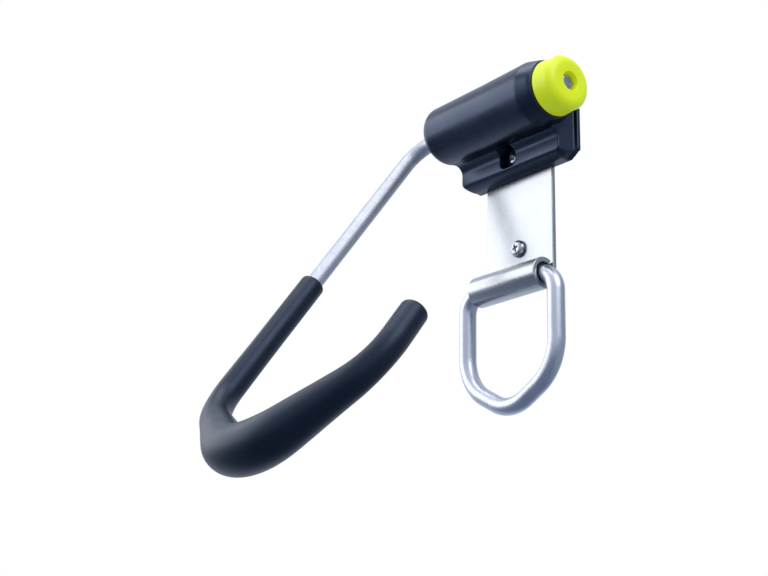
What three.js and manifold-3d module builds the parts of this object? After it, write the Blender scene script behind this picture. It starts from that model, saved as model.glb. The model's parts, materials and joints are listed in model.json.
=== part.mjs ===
// Wall rack for one bicycle: a hinged wheel hook in a moulded barrel, a steel wall plate
// with a rolled eye, and a lock ring that swings in the eye.
// Millimetres, +Z up. The wall is the plane Y = 0 and the room is on the -Y side.
// Z = 0 is the height of the lower wall screw, X = 0 is the middle of the wall plate.
import * as THREE from 'three';
import { mergeVertices } from 'three/addons/utils/BufferGeometryUtils.js';
import Module from 'manifold-3d';

const wasm = await Module();
wasm.setup();

// Clearance between neighbouring pieces.
const GAP = 0.3;

// Wall plate: flat steel, its lower end rolled into an eye.
const PLATE_WIDTH = 50;
const PLATE_THICK = 2.5;
const PLATE_TOP_Z = 65;
const EYE_Z = -19.3;
const EYE_INNER_R = 5.65;
const EYE_OUTER_R = EYE_INNER_R + PLATE_THICK;
const EYE_Y = -EYE_OUTER_R;
const EYE_END_DEG = 60;
const PLATE_HOLE_R = 2.9;

// Lock ring: one round bar bent into a five-sided loop and welded shut.
const RING_BAR_R = 4.5;
const RING_Z = EYE_Z - 0.3;
const RING_HALF_WIDTH = 33.4;
const RING_MID_X = -0.8;
const RING_TOP_BEND_R = 10.5;
const RING_CORNER_BEND_R = 26;
const RING_TIP_BEND_R = 24;
const RING_CORNER_DROP = 49.2;
const RING_TIP_DROP = 66.9;

// Wheel hook: round bar, bent in one plane that leans out from the wall.
const AXIS_Y = -21;
const AXIS_Z = 69;
const HOOK_LEAN_DEG = 36.7;
const HOOK_BAR_R = 4.25;
const HOOK_LEFT_X = -62;
const HOOK_RIGHT_X = 66.5;
const HOOK_MID_X = 2.5;
const HOOK_TOP_BEND_R = 13;
const HOOK_LEFT_CORNER = 205.5;
const HOOK_RIGHT_CORNER = 203.5;
const HOOK_CORNER_BEND_R = 32;
const HOOK_TIP = 249.4;
const HOOK_TIP_BEND_R = 42;
const HOOK_END = 175;
const HOOK_SHAFT_END_X = 43.3;
const HOOK_TAP_R = 2.8;
const HOOK_TAP_DEPTH = 15;

// Rubber cover over the working end of the hook.
const COVER_START = 112.5;
const COVER_END = 169.5;
const COVER_EDGE_R = 1.6;
// Distance from the middle of the bow, and cover radius there.
const COVER_PROFILE = [[0, 12], [14, 11.7], [32, 10.3], [52, 8.5], [74, 7], [96, 6.7], [120, 6.5]];

// Barrel housing: half lengths, radii and the flange under the barrel.
const BARREL_LEFT_X = -40;
const BARREL_RIGHT_X = 45.5;
const BARREL_SHOULDER_X = 36.5;
const BARREL_LEFT_R = 16.3;
const BARREL_MID_R = 16.7;
const BARREL_RIGHT_R = 17.5;
const BARREL_FACE_R = 15;
const BARREL_EDGE_R = 5;
const BARREL_SIDES = 40;
const FLANGE_FRONT_Y = -12;
const FLANGE_BOTTOM_Z = 38.3;
const FLANGE_WAIST_Y = -6;
const FLANGE_WAIST_Z = 38.5;
const FLANGE_FRONT_Z = 40.5;
const FLANGE_TOP_Z = 65;
const HOUSING_MID_X = 2.4;
const FLANGE_FRONT_HALF = 37.3;
const FLANGE_BACK_HALF = 39.4;
const RIM_HALF = 41.3;
const RIM_THICK = 2;
const RIM_CORNER_X = 6.4;
const RIM_CORNER_Z = 4;
const FRONT_CORNER = 1;
const NECK_LOW_Z = 46;
const NECK_FILLET_R = 5;
const NECK_TOP_Z = 78;
const NECK_BACK_Y = -12;
const NECK_BACK_Z = 82.4;

// Bore, bushes and stop.
const BUSH_OUTER_R = 7;
const BUSH_FLANGE_R = 9;
const BUSH_FLANGE_THICK = 1.5;
const BUSH_LENGTH = 18;
const STOP_WASHER_R = 9;
const STOP_WASHER_THICK = 1.5;
const STOP_LUG_R = 12;
const STOP_LUG_HALF_DEG = 14;
const STOP_SLACK_DEG = 1.5;
const SWING_DEG = 143;

// End cap, bolt and washer.
const CAP_BASE_R = 14;
const CAP_LENGTH = 13;
const CAP_FACE_R = 9.4;
const CAP_RECESS_R = 4.9;
const CAP_RECESS_DEPTH = 6.8;
const BOLT_HEAD_R = 4.2;
const BOLT_HEAD_THICK = 3.5;
const BOLT_SHANK_R = 2.5;
const BOLT_WASHER_R = 4.5;
const BOLT_WASHER_THICK = 0.8;

// Wall screws.
const SCREW_SHANK_R = 2.5;
const UPPER_HEAD_R = 3.9;
const LOWER_HEAD_R = 4.6;
const SCREW_HEAD_THICK = 2.8;
const SCREW_BEHIND = 20;
const SCREW_POINT = 5;
const HEAD_FLAT_R = 1.6;
const CROSS_LONG = 2.3;
const CROSS_THIN = 0.55;
const CROSS_DEEP = 1.6;
const UPPER_SCREW_X = 2;
const UPPER_SCREW_Z = 48.4;
const UPPER_RECESS_Y = -5.6;
const UPPER_RECESS_HALF = 5.8;
const UPPER_RECESS_LOW_Z = 42.4;
const UPPER_RECESS_ARC_Z = 49.2;
const UPPER_RECESS_ROOF_Z = 52.3;

const SIDES = 32;
const DEG = Math.PI / 180;
const AXIS_X = new THREE.Vector3(1, 0, 0);

const zinc = new THREE.MeshStandardMaterial({ color: 0xc9ccd0, roughness: 0.35, metalness: 1 });
const brightBar = new THREE.MeshStandardMaterial({ color: 0xb9bcc2, roughness: 0.3, metalness: 1 });
const blackPlastic = new THREE.MeshStandardMaterial({ color: 0x1d2027, roughness: 0.55, metalness: 0 });
const blackRubber = new THREE.MeshStandardMaterial({ color: 0x20242c, roughness: 0.6, metalness: 0 });
const limeRubber = new THREE.MeshStandardMaterial({ color: 0xcbdb1e, roughness: 0.5, metalness: 0 });
const nylon = new THREE.MeshStandardMaterial({ color: 0xd8d6cc, roughness: 0.5, metalness: 0 });

// Solid from a closed three.js geometry.
function solid(geometry) {
  const bare = geometry.clone();
  bare.deleteAttribute('normal');
  bare.deleteAttribute('uv');
  const merged = mergeVertices(bare, 1e-4);
  const mesh = new wasm.Mesh({
    numProp: 3,
    vertProperties: new Float32Array(merged.attributes.position.array),
    triVerts: new Uint32Array(merged.index.array),
  });
  return new wasm.Manifold(mesh);
}

// Named mesh from a solid.
function piece(name, body, material) {
  const mesh = body.getMesh();
  const geometry = new THREE.BufferGeometry();
  geometry.setAttribute('position', new THREE.BufferAttribute(new Float32Array(mesh.vertProperties), 3));
  geometry.setIndex(new THREE.BufferAttribute(new Uint32Array(mesh.triVerts), 1));
  geometry.computeVertexNormals();
  const result = new THREE.Mesh(geometry, material);
  result.name = name;
  return result;
}

// Turned body: [radius, x] pairs run along +X round the X axis.
function turnedX(profile, sides = SIDES) {
  const points = profile.map(([r, x]) => new THREE.Vector2(r, x));
  const geometry = new THREE.LatheGeometry(points, sides);
  geometry.rotateZ(-Math.PI / 2);
  return solid(geometry);
}

// Turned body round the Y axis: [radius, y] pairs with y rising.
function turnedY(profile, sides = SIDES) {
  const points = profile.map(([r, y]) => new THREE.Vector2(r, y));
  return solid(new THREE.LatheGeometry(points, sides));
}

// Flat outline in the YZ plane given as [y, z] pairs, drawn out from x0 to x1.
function prismX(outline, x0, x1) {
  const shape = new THREE.Shape(outline.map(([y, z]) => new THREE.Vector2(y, z)));
  const geometry = new THREE.ExtrudeGeometry(shape, { depth: x1 - x0, bevelEnabled: false });
  geometry.applyMatrix4(new THREE.Matrix4().set(0, 0, 1, x0, 1, 0, 0, 0, 0, 1, 0, 0, 0, 0, 0, 1));
  return solid(geometry);
}

// Flat outline in the XZ plane given as [x, z] pairs, drawn out from y0 to y1.
function prismY(outline, y0, y1) {
  const shape = new THREE.Shape(outline.map(([x, z]) => new THREE.Vector2(x, z)));
  const geometry = new THREE.ExtrudeGeometry(shape, { depth: y1 - y0, bevelEnabled: false });
  geometry.rotateX(Math.PI / 2);
  geometry.translate(0, y1, 0);
  return solid(geometry);
}

function box(x0, x1, y0, y1, z0, z1) {
  const geometry = new THREE.BoxGeometry(x1 - x0, y1 - y0, z1 - z0);
  geometry.translate((x0 + x1) / 2, (y0 + y1) / 2, (z0 + z1) / 2);
  return solid(geometry);
}

// Points on an arc; angles in degrees, ends included.
function arc(cx, cy, r, from, to, steps) {
  return Array.from({ length: steps + 1 }, (_, i) => {
    const a = (from + (to - from) * i / steps) * DEG;
    return [cx + r * Math.cos(a), cy + r * Math.sin(a)];
  });
}

// Polyline with every inner corner rounded; corners are [u, v, bendRadius].
function bentPath(corners, stepDeg) {
  const count = corners.length;
  const points = [];
  corners.forEach(([u, v, bend], i) => {
    if (i === 0 || i === count - 1) {
      points.push(new THREE.Vector2(u, v));
      return;
    }
    const here = new THREE.Vector2(u, v);
    const [pu, pv] = corners[i - 1];
    const [nu, nv] = corners[i + 1];
    const back = new THREE.Vector2(pu, pv).sub(here).normalize();
    const ahead = new THREE.Vector2(nu, nv).sub(here).normalize();
    const turn = Math.PI - Math.acos(THREE.MathUtils.clamp(back.dot(ahead), -1, 1));
    const reach = bend * Math.tan(turn / 2);
    const middle = back.clone().add(ahead).normalize();
    const centre = here.clone().addScaledVector(middle, Math.hypot(bend, reach));
    const start = here.clone().addScaledVector(back, reach).sub(centre);
    const steps = Math.max(2, Math.round(turn / DEG / stepDeg));
    const sign = Math.sign(back.x * ahead.y - back.y * ahead.x) < 0 ? 1 : -1;
    for (let k = 0; k <= steps; k += 1) {
      const spoke = start.clone().rotateAround(new THREE.Vector2(), sign * turn * k / steps);
      points.push(centre.clone().add(spoke));
    }
  });
  return points;
}

// Extra points on the long straight runs so that a changing radius can follow them.
function refine(points, longest) {
  const result = [points[0]];
  for (let i = 1; i < points.length; i += 1) {
    const from = points[i - 1];
    const parts = Math.ceil(from.distanceTo(points[i]) / longest);
    for (let k = 1; k <= parts; k += 1) {
      result.push(from.clone().lerp(points[i], k / parts));
    }
  }
  return result;
}

// Round bar along a flat path. toSpace maps (u, v, offset out of the path plane) to a point.
// radii holds one radius per path point. An open bar is closed by its two flat ends.
function bar(path, radii, sides, toSpace) {
  const last = path.length - 1;
  const geometry = new THREE.CylinderGeometry(1, 1, last, sides, last);
  const position = geometry.attributes.position;
  for (let i = 0; i < position.count; i += 1) {
    const k = Math.round(position.getY(i) + last / 2);
    const before = path[Math.max(k - 1, 0)];
    const after = path[Math.min(k + 1, last)];
    const along = after.clone().sub(before).normalize();
    const side = position.getX(i) * radii[k];
    const out = position.getZ(i) * radii[k];
    const u = path[k].x + along.y * side;
    const v = path[k].y - along.x * side;
    const spot = toSpace(u, v, out);
    position.setXYZ(i, spot.x, spot.y, spot.z);
  }
  return solid(geometry);
}

// Hook plane: u runs along X and v down the arm from the barrel axis.
const armDirection = new THREE.Vector3(0, -Math.sin(HOOK_LEAN_DEG * DEG), -Math.cos(HOOK_LEAN_DEG * DEG));
const hookNormal = new THREE.Vector3().crossVectors(AXIS_X, armDirection);
function hookSpace(u, v, out) {
  const spot = new THREE.Vector3(u, AXIS_Y, AXIS_Z);
  return spot.addScaledVector(armDirection, v).addScaledVector(hookNormal, out);
}

function hookCorners(startX, endV) {
  return [
    [startX, 0, 0],
    [HOOK_LEFT_X, 0, HOOK_TOP_BEND_R],
    [HOOK_LEFT_X, HOOK_LEFT_CORNER, HOOK_CORNER_BEND_R],
    [HOOK_MID_X, HOOK_TIP, HOOK_TIP_BEND_R],
    [HOOK_RIGHT_X, HOOK_RIGHT_CORNER, HOOK_CORNER_BEND_R],
    [HOOK_RIGHT_X, endV, 0],
  ];
}

function hookRod() {
  const path = bentPath(hookCorners(HOOK_SHAFT_END_X, HOOK_END), 9);
  const rod = bar(path, path.map(() => HOOK_BAR_R), 16, hookSpace);
  const tap = turnedX([[0, -HOOK_TAP_DEPTH], [HOOK_TAP_R, -HOOK_TAP_DEPTH], [HOOK_TAP_R, 1], [0, 1]], 16)
    .translate([HOOK_SHAFT_END_X, AXIS_Y, AXIS_Z]);
  return rod.subtract(tap);
}

// Cover radius at a distance along the bar from the middle of the bow.
function coverRadius(distance) {
  const i = COVER_PROFILE.findIndex(([d]) => d >= distance);
  if (i < 0) {
    return COVER_PROFILE[COVER_PROFILE.length - 1][1];
  }
  if (i === 0) {
    return COVER_PROFILE[0][1];
  }
  const [d0, r0] = COVER_PROFILE[i - 1];
  const [d1, r1] = COVER_PROFILE[i];
  return THREE.MathUtils.lerp(r0, r1, (distance - d0) / (d1 - d0));
}

function cradleCover() {
  const corners = hookCorners(0, COVER_END).slice(1);
  corners[0] = [HOOK_LEFT_X, COVER_START, 0];
  const path = refine(bentPath(corners, 7), 9);
  const travelled = [0];
  for (let i = 1; i < path.length; i += 1) {
    travelled.push(travelled[i - 1] + path[i].distanceTo(path[i - 1]));
  }
  const low = path.reduce((best, p, i) => (p.y > path[best].y ? i : best), 0);
  const radii = path.map((_, i) => coverRadius(Math.abs(travelled[i] - travelled[low])));
  // Rounded edges: two short steps at each end of the bar.
  const soft = [0.29, 1].map((part) => part * COVER_EDGE_R);
  const ends = [path[0], path[path.length - 1]];
  const inward = [path[1].clone().sub(ends[0]).normalize(), path[path.length - 2].clone().sub(ends[1]).normalize()];
  const startPoints = soft.map((d) => ends[0].clone().addScaledVector(inward[0], d));
  const endPoints = soft.map((d) => ends[1].clone().addScaledVector(inward[1], d)).reverse();
  const line = [ends[0], ...startPoints, ...path.slice(1, -1), ...endPoints, ends[1]];
  const first = radii[0];
  const final = radii[radii.length - 1];
  const rounded = [
    first - COVER_EDGE_R, first - soft[0], first,
    ...radii.slice(1, -1),
    final, final - soft[0], final - COVER_EDGE_R,
  ];
  const outer = bar(line, rounded, 24, hookSpace);
  const channelPath = bentPath([[HOOK_LEFT_X, COVER_START - 5, 0], ...hookCorners(0, HOOK_END - GAP).slice(2)], 9);
  const channel = bar(channelPath, channelPath.map(() => HOOK_BAR_R + GAP), 16, hookSpace);
  return outer.subtract(channel);
}

// The loop is two open bars that meet face to face in the middle of two straight sides.
function lockRing() {
  const ringSpace = (u, v, out) => new THREE.Vector3(RING_MID_X + u, EYE_Y - out, RING_Z + v);
  const w = RING_HALF_WIDTH;
  const joint = [w, -RING_CORNER_DROP / 2, 0];
  const long = bentPath([
    [0, 0, 0],
    [-w, 0, RING_TOP_BEND_R],
    [-w, -RING_CORNER_DROP, RING_CORNER_BEND_R],
    [0, -RING_TIP_DROP, RING_TIP_BEND_R],
    [w, -RING_CORNER_DROP, RING_CORNER_BEND_R],
    joint,
  ], 10);
  const short = bentPath([joint, [w, 0, RING_TOP_BEND_R], [0, 0, 0]], 10);
  const [first, second] = [long, short].map((run) => bar(run, run.map(() => RING_BAR_R), 16, ringSpace));
  return first.add(second);
}

function wallPlate() {
  const inner = arc(EYE_Y, EYE_Z, EYE_INNER_R, 0, -360 + EYE_END_DEG, 30);
  const outer = arc(EYE_Y, EYE_Z, EYE_OUTER_R, -360 + EYE_END_DEG, 0, 30);
  const outline = [[0, PLATE_TOP_Z], [-PLATE_THICK, PLATE_TOP_Z], ...inner, ...outer];
  const half = PLATE_WIDTH / 2;
  return prismX(outline, -half, half).subtract(screwHole(0, 0)).subtract(screwHole(UPPER_SCREW_X, UPPER_SCREW_Z));
}

function barrel() {
  const edge = arc(BARREL_LEFT_X + BARREL_EDGE_R, BARREL_LEFT_R - BARREL_EDGE_R, BARREL_EDGE_R, 180, 100, 6);
  const profile = [
    [0, BARREL_LEFT_X],
    ...edge.map(([x, r]) => [r, x]),
    [BARREL_MID_R, 4],
    [BARREL_RIGHT_R, BARREL_SHOULDER_X],
    [BARREL_FACE_R + 0.8, BARREL_RIGHT_X - 1.6],
    [BARREL_FACE_R, BARREL_RIGHT_X],
    [0, BARREL_RIGHT_X],
  ];
  return turnedX(profile, BARREL_SIDES).translate([0, AXIS_Y, AXIS_Z]);
}

// Neck seen from the side: a hollow fillet from the flange's front face up into the barrel.
function neck() {
  const reach = BARREL_MID_R + NECK_FILLET_R;
  const fy = FLANGE_FRONT_Y - NECK_FILLET_R;
  const rise = Math.sqrt(reach * reach - (AXIS_Y - fy) ** 2);
  const fz = AXIS_Z - rise;
  const touch = Math.atan2(rise, AXIS_Y - fy) / DEG;
  const fillet = arc(fy, fz, NECK_FILLET_R, 0, touch, 6);
  const outline = [
    [0, NECK_LOW_Z],
    [0, NECK_TOP_Z],
    [NECK_BACK_Y, NECK_BACK_Z],
    [AXIS_Y, AXIS_Z],
    ...fillet.reverse(),
    [FLANGE_FRONT_Y, NECK_LOW_Z],
  ];
  return prismX(outline, -FLANGE_BACK_HALF, FLANGE_BACK_HALF);
}

// Flange outline in the XZ plane, its two lower corners cut.
function flangeOutline(half, bottom, top, cutX = RIM_CORNER_X, cutZ = RIM_CORNER_Z) {
  return [
    [-half, top],
    [-half, bottom + cutZ],
    [-half + cutX, bottom],
    [half - cutX, bottom],
    [half, bottom + cutZ],
    [half, top],
  ];
}

// Flange and neck, drafted from the wall to the front face; the corner cuts grow towards the wall.
function flange() {
  const waistHalf = (FLANGE_FRONT_HALF + FLANGE_BACK_HALF) / 2;
  const sections = [
    [FLANGE_FRONT_Y, flangeOutline(FLANGE_FRONT_HALF, FLANGE_FRONT_Z, FLANGE_TOP_Z, FRONT_CORNER, FRONT_CORNER)],
    [FLANGE_WAIST_Y, flangeOutline(waistHalf, FLANGE_WAIST_Z, FLANGE_TOP_Z, RIM_CORNER_X / 2, RIM_CORNER_Z / 2)],
    [0, flangeOutline(FLANGE_BACK_HALF, FLANGE_BOTTOM_Z, FLANGE_TOP_Z)],
  ];
  const slab = wasm.Manifold.hull(sections.flatMap(([y, outline]) => outline.map(([x, z]) => [x, y, z])));
  const tilt = Math.atan2(FLANGE_BACK_HALF - FLANGE_FRONT_HALF, -FLANGE_FRONT_Y) / DEG;
  const right = box(0, 30, -40, 40, 0, 90).rotate([0, 0, tilt]).translate([FLANGE_BACK_HALF, 0, 0]);
  const left = right.mirror([1, 0, 0]);
  return neck().subtract(right).subtract(left).add(slab).translate([HOUSING_MID_X, 0, 0]);
}

// Pocket in the barrel face that the lug of the stop washer sweeps through.
function stopPocket() {
  const r = STOP_LUG_R + GAP;
  const from = -STOP_LUG_HALF_DEG - STOP_SLACK_DEG;
  const to = SWING_DEG + STOP_LUG_HALF_DEG + STOP_SLACK_DEG;
  return [[0, 0], ...arc(0, 0, r, from, to, 20)];
}

// Angle of the lug in the YZ plane, hook at rest: it points the same way as the arm.
const LUG_DEG = Math.atan2(armDirection.z, armDirection.y) / DEG;

function placeOnAxis(body) {
  return body.translate([0, AXIS_Y, AXIS_Z]);
}

function barrelHousing() {
  const rim = prismY(flangeOutline(RIM_HALF, FLANGE_BOTTOM_Z, FLANGE_TOP_Z), -RIM_THICK, 0).translate([HOUSING_MID_X, 0, 0]);
  let body = barrel().add(flange()).add(rim);
  const channel = PLATE_WIDTH / 2 + GAP;
  body = body.subtract(box(-channel, channel, -PLATE_THICK - GAP, 5, 0, PLATE_TOP_Z + GAP));
  const through = turnedX([[0, -60], [HOOK_BAR_R + 0.6, -60], [HOOK_BAR_R + 0.6, 60], [0, 60]]);
  const bushBore = BUSH_OUTER_R + GAP;
  const leftEnd = BARREL_LEFT_X + BUSH_LENGTH + GAP;
  const leftBore = turnedX([[0, -60], [bushBore, -60], [bushBore, leftEnd], [0, leftEnd]]);
  const stepX = rightBushSeatX() - GAP;
  const rightEnd = rightBushSeatX() - BUSH_LENGTH - GAP;
  const rightBore = turnedX([[0, rightEnd], [bushBore, rightEnd], [bushBore, 60], [0, 60]]);
  const flangeBore = STOP_WASHER_R + GAP;
  const counter = turnedX([[0, stepX], [flangeBore, stepX], [flangeBore, 60], [0, 60]]);
  const pocket = prismX(stopPocket(), stopWasherX(), 60)
    .rotate([LUG_DEG - SWING_DEG, 0, 0]);
  const bores = through.add(leftBore).add(rightBore).add(counter).add(pocket);
  body = body.subtract(placeOnAxis(bores));
  return body.subtract(screwRecess()).subtract(screwHole(UPPER_SCREW_X, UPPER_SCREW_Z));
}

// Inner face of the stop washer, level with the barrel end less a gap.
function stopWasherX() {
  return BARREL_RIGHT_X - STOP_WASHER_THICK - GAP;
}

// Back of the right bush's flange, where it seats in the housing.
function rightBushSeatX() {
  return stopWasherX() - GAP - BUSH_FLANGE_THICK;
}

// U-shaped recess for the upper screw, open to the front.
function screwRecess() {
  const h = UPPER_RECESS_HALF;
  const low = UPPER_RECESS_LOW_Z;
  const outline = [
    [-h, low + 3], [-h + 3, low], [h - 3, low], [h, low + 3],
    ...arc(0, UPPER_RECESS_ARC_Z, h, 0, 180, 12),
  ];
  const open = prismY(outline, AXIS_Y, UPPER_RECESS_Y);
  const roof = box(-h, h, AXIS_Y, FLANGE_FRONT_Y - 3, UPPER_RECESS_ROOF_Z, NECK_TOP_Z);
  return open.subtract(roof).translate([UPPER_SCREW_X, 0, 0]);
}

function screwHole(x, z) {
  return turnedY([[0, -9], [PLATE_HOLE_R, -9], [PLATE_HOLE_R, 9], [0, 9]], 24).translate([x, 0, z]);
}

// Flanged bush: body from x = 0 to its length, flange on the low side.
function bush() {
  const r = HOOK_BAR_R + GAP;
  return turnedX([
    [r, -BUSH_FLANGE_THICK], [BUSH_FLANGE_R, -BUSH_FLANGE_THICK], [BUSH_FLANGE_R, 0],
    [BUSH_OUTER_R, 0], [BUSH_OUTER_R, BUSH_LENGTH], [r, BUSH_LENGTH], [r, -BUSH_FLANGE_THICK],
  ]);
}

function leftBush() {
  return placeOnAxis(bush().translate([BARREL_LEFT_X - GAP, 0, 0]));
}

function rightBush() {
  return placeOnAxis(bush().mirror([1, 0, 0]).translate([rightBushSeatX(), 0, 0]));
}

function stopWasher() {
  const x0 = stopWasherX();
  const x1 = x0 + STOP_WASHER_THICK;
  const hole = HOOK_TAP_R;
  const disc = turnedX([[hole, x0], [STOP_WASHER_R, x0], [STOP_WASHER_R, x1], [hole, x1], [hole, x0]]);
  const lug = prismX([
    ...arc(0, 0, STOP_WASHER_R - 1, -STOP_LUG_HALF_DEG, STOP_LUG_HALF_DEG, 3),
    ...arc(0, 0, STOP_LUG_R, STOP_LUG_HALF_DEG, -STOP_LUG_HALF_DEG, 5),
  ], x0, x1).rotate([LUG_DEG, 0, 0]);
  return placeOnAxis(disc.add(lug));
}

function endCap() {
  const x0 = BARREL_RIGHT_X + GAP;
  const x1 = x0 + CAP_LENGTH;
  const floor = x1 - CAP_RECESS_DEPTH;
  const dome = arc(x1 - 5.6, CAP_FACE_R - 0.4, 5.6, 66, 0, 6).map(([x, r]) => [r, x]);
  const hole = BOLT_SHANK_R + GAP;
  return placeOnAxis(turnedX([
    [hole, x0], [CAP_BASE_R, x0], [CAP_BASE_R + 0.5, x0 + 0.8], [CAP_BASE_R + 0.3, x0 + 4],
    [CAP_BASE_R - 0.1, x0 + 7],
    ...dome,
    [CAP_RECESS_R + 0.3, x1], [CAP_RECESS_R, x1 - 0.3], [CAP_RECESS_R, floor], [hole, floor], [hole, x0],
  ], 48));
}

function boltWasher() {
  const x0 = BARREL_RIGHT_X + GAP + CAP_LENGTH - CAP_RECESS_DEPTH + GAP;
  const x1 = x0 + BOLT_WASHER_THICK;
  const hole = BOLT_SHANK_R + GAP;
  return placeOnAxis(turnedX([[hole, x0], [BOLT_WASHER_R, x0], [BOLT_WASHER_R, x1], [hole, x1], [hole, x0]]));
}

function retainingBolt() {
  const x0 = BARREL_RIGHT_X + GAP + CAP_LENGTH - CAP_RECESS_DEPTH + GAP + BOLT_WASHER_THICK + GAP;
  const x1 = x0 + BOLT_HEAD_THICK;
  const tail = HOOK_SHAFT_END_X - HOOK_TAP_DEPTH + 2;
  const head = turnedX([[0, x0], [BOLT_HEAD_R, x0], [BOLT_HEAD_R, x1 - 0.5], [BOLT_HEAD_R - 0.9, x1], [0, x1]], 6);
  const shank = turnedX([[0, tail], [BOLT_SHANK_R - 0.5, tail], [BOLT_SHANK_R, tail + 0.6], [BOLT_SHANK_R, x0 + 1], [0, x0 + 1]], 24);
  return placeOnAxis(head.add(shank));
}

// Cross recess in the middle of a screw head whose top is at y = 0.
function crossRecess() {
  const flat = box(-CROSS_LONG, CROSS_LONG, -1, CROSS_DEEP, -CROSS_THIN, CROSS_THIN);
  return flat.add(flat.rotate([0, 90, 0]));
}

// Pan-head screw along +Y; the head bears at y = bearing.
function wallScrew(bearing, headR, x, z) {
  const top = bearing - SCREW_HEAD_THICK;
  const crown = arc(bearing, 0, SCREW_HEAD_THICK, 180, 90, 5)
    .map(([y, r]) => [HEAD_FLAT_R + (r / SCREW_HEAD_THICK) * (headR - HEAD_FLAT_R), y]);
  const body = turnedY([
    [0, top], ...crown, [SCREW_SHANK_R, bearing],
    [SCREW_SHANK_R, SCREW_BEHIND - SCREW_POINT], [0.4, SCREW_BEHIND], [0, SCREW_BEHIND],
  ]);
  return body.subtract(crossRecess().translate([0, top, 0])).translate([x, 0, z]);
}

const group = new THREE.Group();
group.name = 'bicycle_wall_rack';

const fixedPieces = [
  piece('wall_plate', wallPlate(), zinc),
  piece('barrel_housing', barrelHousing(), blackPlastic),
  piece('left_pivot_bush', leftBush(), nylon),
  piece('right_pivot_bush', rightBush(), nylon),
  piece('upper_wall_screw', wallScrew(UPPER_RECESS_Y - GAP, UPPER_HEAD_R, UPPER_SCREW_X, UPPER_SCREW_Z), zinc),
  piece('lower_wall_screw', wallScrew(-PLATE_THICK - GAP, LOWER_HEAD_R, 0, 0), zinc),
];
const hookPieces = [
  piece('hook_rod', hookRod(), brightBar),
  piece('cradle_cover', cradleCover(), blackRubber),
  piece('stop_washer', stopWasher(), zinc),
  piece('end_cap', endCap(), limeRubber),
  piece('cap_bolt_washer', boltWasher(), zinc),
  piece('retaining_bolt', retainingBolt(), zinc),
];
const ringPieces = [piece('lock_ring', lockRing(), brightBar)];

group.add(...fixedPieces, ...hookPieces, ...ringPieces);
export default group;
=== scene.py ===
"""Bicycle wall rack: the looks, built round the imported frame.

A hook of bent bar swings in a moulded barrel on a steel wall plate. The plate's rolled
eye carries a lock ring. Metres throughout; the wall is Y = 0 and the room is on -Y.
"""

import json  # noqa: E402
import logging  # noqa: E402
import math  # noqa: E402
from collections.abc import Callable, Sequence  # noqa: E402
from dataclasses import dataclass, field  # noqa: E402
from enum import Enum  # noqa: E402

import bmesh  # noqa: E402
import bpy  # noqa: E402
from mathutils import Matrix, Vector  # noqa: E402


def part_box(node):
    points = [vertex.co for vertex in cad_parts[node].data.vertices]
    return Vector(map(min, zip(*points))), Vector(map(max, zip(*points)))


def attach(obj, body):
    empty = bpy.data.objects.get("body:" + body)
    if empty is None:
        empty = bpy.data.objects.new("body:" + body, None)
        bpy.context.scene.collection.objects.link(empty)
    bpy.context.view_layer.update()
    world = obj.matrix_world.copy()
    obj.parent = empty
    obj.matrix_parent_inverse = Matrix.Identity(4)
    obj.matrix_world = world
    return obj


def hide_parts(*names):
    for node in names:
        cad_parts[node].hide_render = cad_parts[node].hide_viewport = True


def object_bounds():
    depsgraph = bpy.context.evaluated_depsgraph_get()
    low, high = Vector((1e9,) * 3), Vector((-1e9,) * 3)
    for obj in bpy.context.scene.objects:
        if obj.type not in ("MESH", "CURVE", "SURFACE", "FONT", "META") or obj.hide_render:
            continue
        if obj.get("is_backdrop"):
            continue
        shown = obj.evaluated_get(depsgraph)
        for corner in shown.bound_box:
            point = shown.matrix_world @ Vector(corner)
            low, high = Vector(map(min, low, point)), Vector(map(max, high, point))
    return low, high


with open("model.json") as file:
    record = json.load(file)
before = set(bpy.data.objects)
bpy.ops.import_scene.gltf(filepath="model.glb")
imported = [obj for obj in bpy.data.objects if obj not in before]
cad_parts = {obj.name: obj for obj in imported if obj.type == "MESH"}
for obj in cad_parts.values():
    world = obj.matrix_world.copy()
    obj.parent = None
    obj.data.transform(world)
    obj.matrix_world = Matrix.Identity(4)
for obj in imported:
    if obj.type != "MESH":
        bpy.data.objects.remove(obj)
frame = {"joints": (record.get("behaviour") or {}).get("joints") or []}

log = logging.getLogger("wall_rack")

Pair = tuple[float, float]
Triple = tuple[float, float, float]
Colour = tuple[float, float, float, float]
Piece = bpy.types.Object
Tree = bpy.types.NodeTree
Socket = bpy.types.NodeSocket

MM = 0.001
SHARP_DEG = 32.0  # edges that turn more than this stay crisp
BEND_STEP_DEG = 2.5  # turn between two points of a bend
POLE_R = 1e-7  # a ring smaller than this is one point
FIT = 0.3 * MM  # gap between pieces that fit together
LEAN_DEG = 36.7  # lean of the hook's arm from the wall
ARM_DEG = -90.0 - LEAN_DEG  # direction of the arm round the barrel's axis
SWING_DEG = 143.0  # how far the hook swings up
LUG_R = 12.0 * MM  # reach of the stop washer's lug
LUG_HALF_DEG = 14.0  # half the lug's width
PLATE_THICK = 2.5 * MM
FLANGE_THICK = 1.5 * MM  # flange of a pivot bush
SCREW_HOLE_R = 2.9 * MM
BAR_SIDES = 64
FULL = 2 * math.pi


class Slot(Enum):
    """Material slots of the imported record."""

    PLATE = "zinc_plate"
    HOUSING = "moulded_housing"
    BUSH = "bush_nylon"
    FASTENER = "zinc_fastener"
    HOOK = "hook_bar"
    COVER = "cover_rubber"
    CAP = "cap_rubber"
    RING = "ring_bar"


class Body(Enum):
    """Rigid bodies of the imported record."""

    WALL = "wall_body"
    HOOK = "hook_body"
    RING = "ring_body"


class Axis(Enum):
    """The axis that a turned piece is turned round."""

    X = 0
    Y = 1


class Ends(Enum):
    """How a skin of rings ends."""

    OPEN = 0
    CAPPED = 1
    JOINED = 2


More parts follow.
